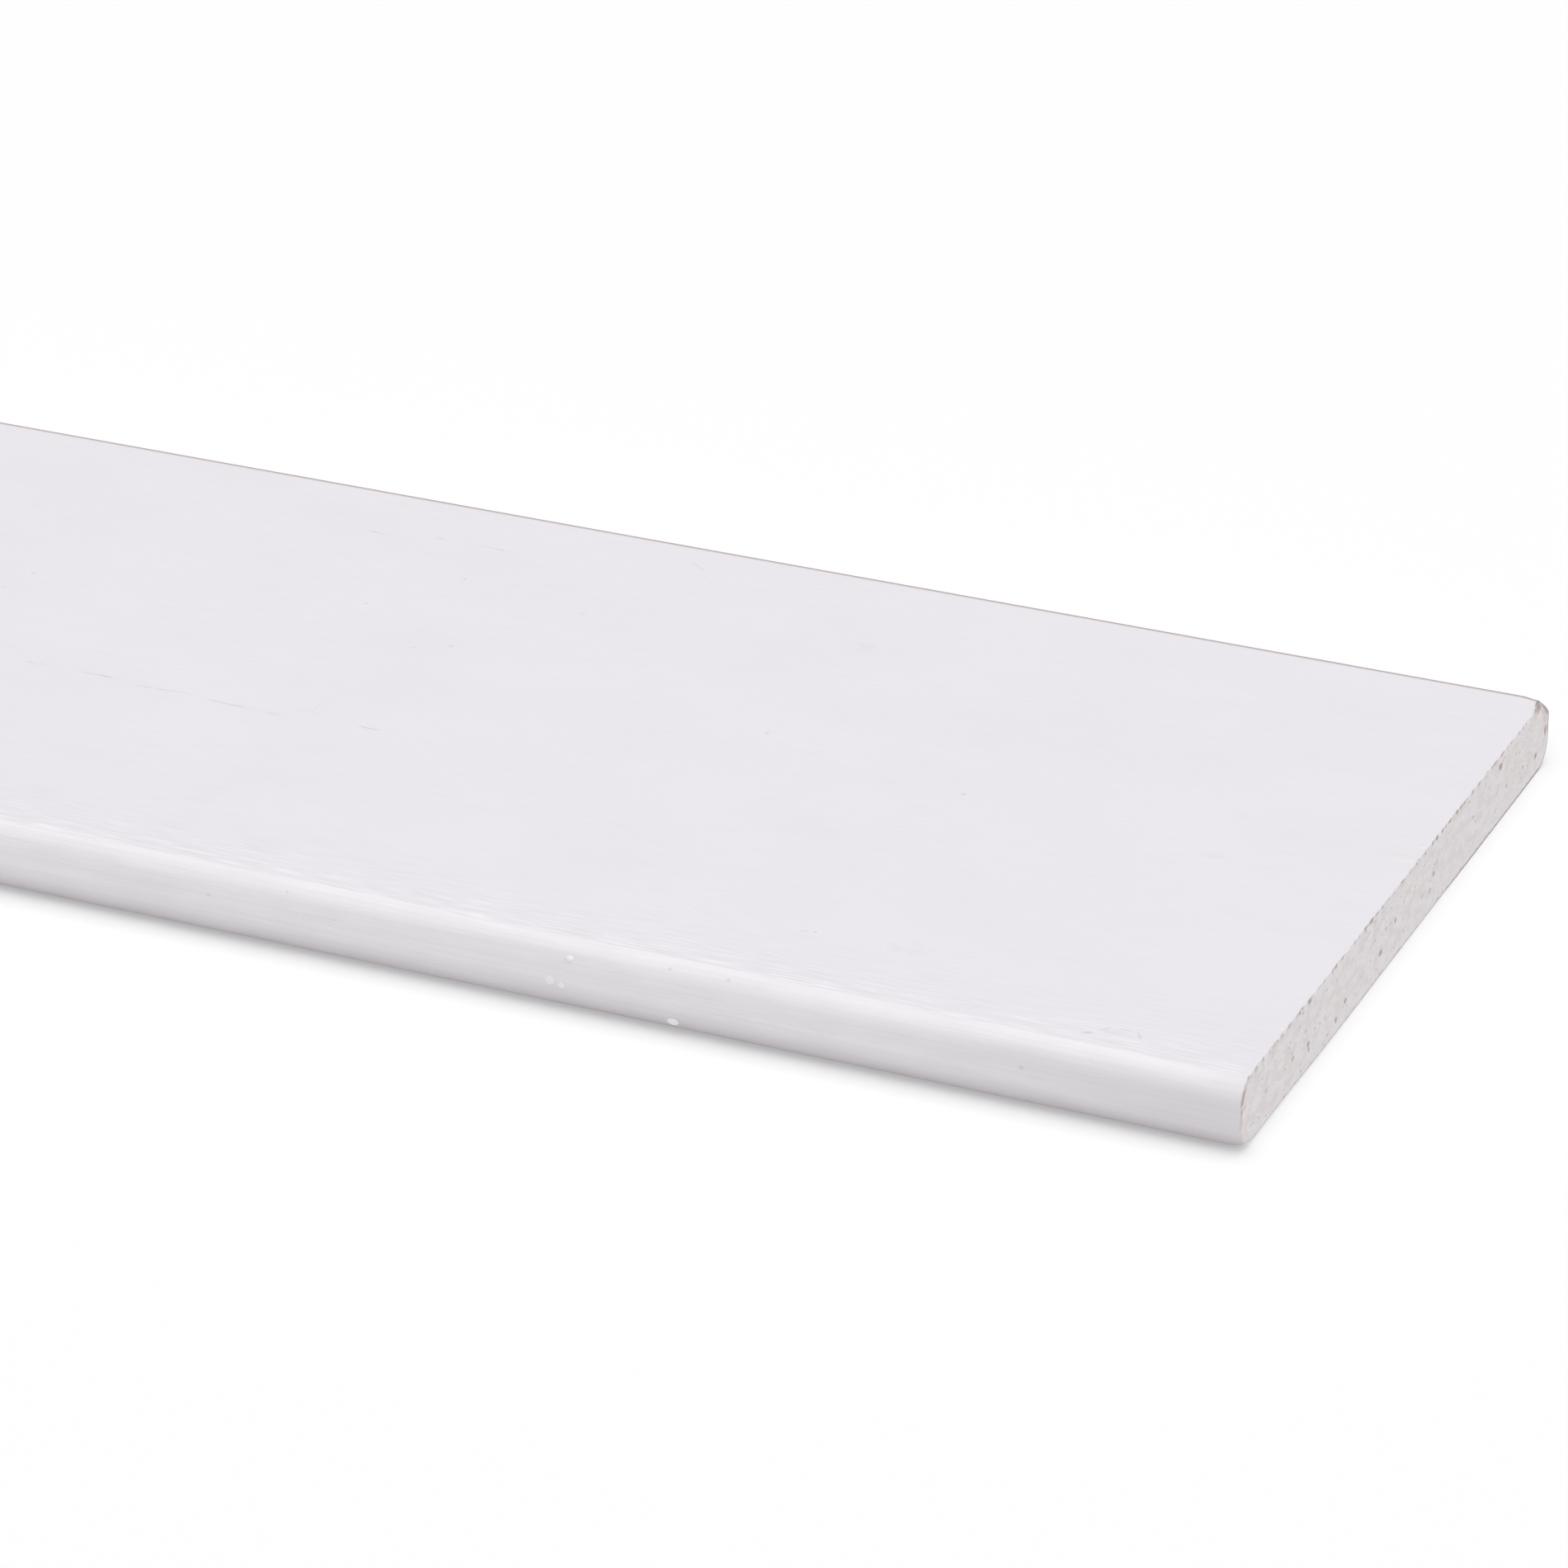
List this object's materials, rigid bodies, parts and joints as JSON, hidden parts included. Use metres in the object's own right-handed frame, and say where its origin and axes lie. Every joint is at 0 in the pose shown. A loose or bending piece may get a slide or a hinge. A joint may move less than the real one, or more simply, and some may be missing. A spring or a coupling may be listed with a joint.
{
  "type": "planed batten",
  "caption": "Flat length of planed and primed hardwood stock with rounded long edges and square-sawn ends.",
  "frame": {"origin": "middle of the back, where the batten rests on the floor", "axes": "+X along the length and the grain, towards the end that the picture shows; +Y across the width; +Z out of the planed face"},
  "size_m": [2.4, 0.07, 0.006],
  "materials": {
    "primed_wood": "matt white primer on planed hardwood"
  },
  "bodies": {
    "root": {"batten": "primed_wood"}
  },
  "joints": []
}
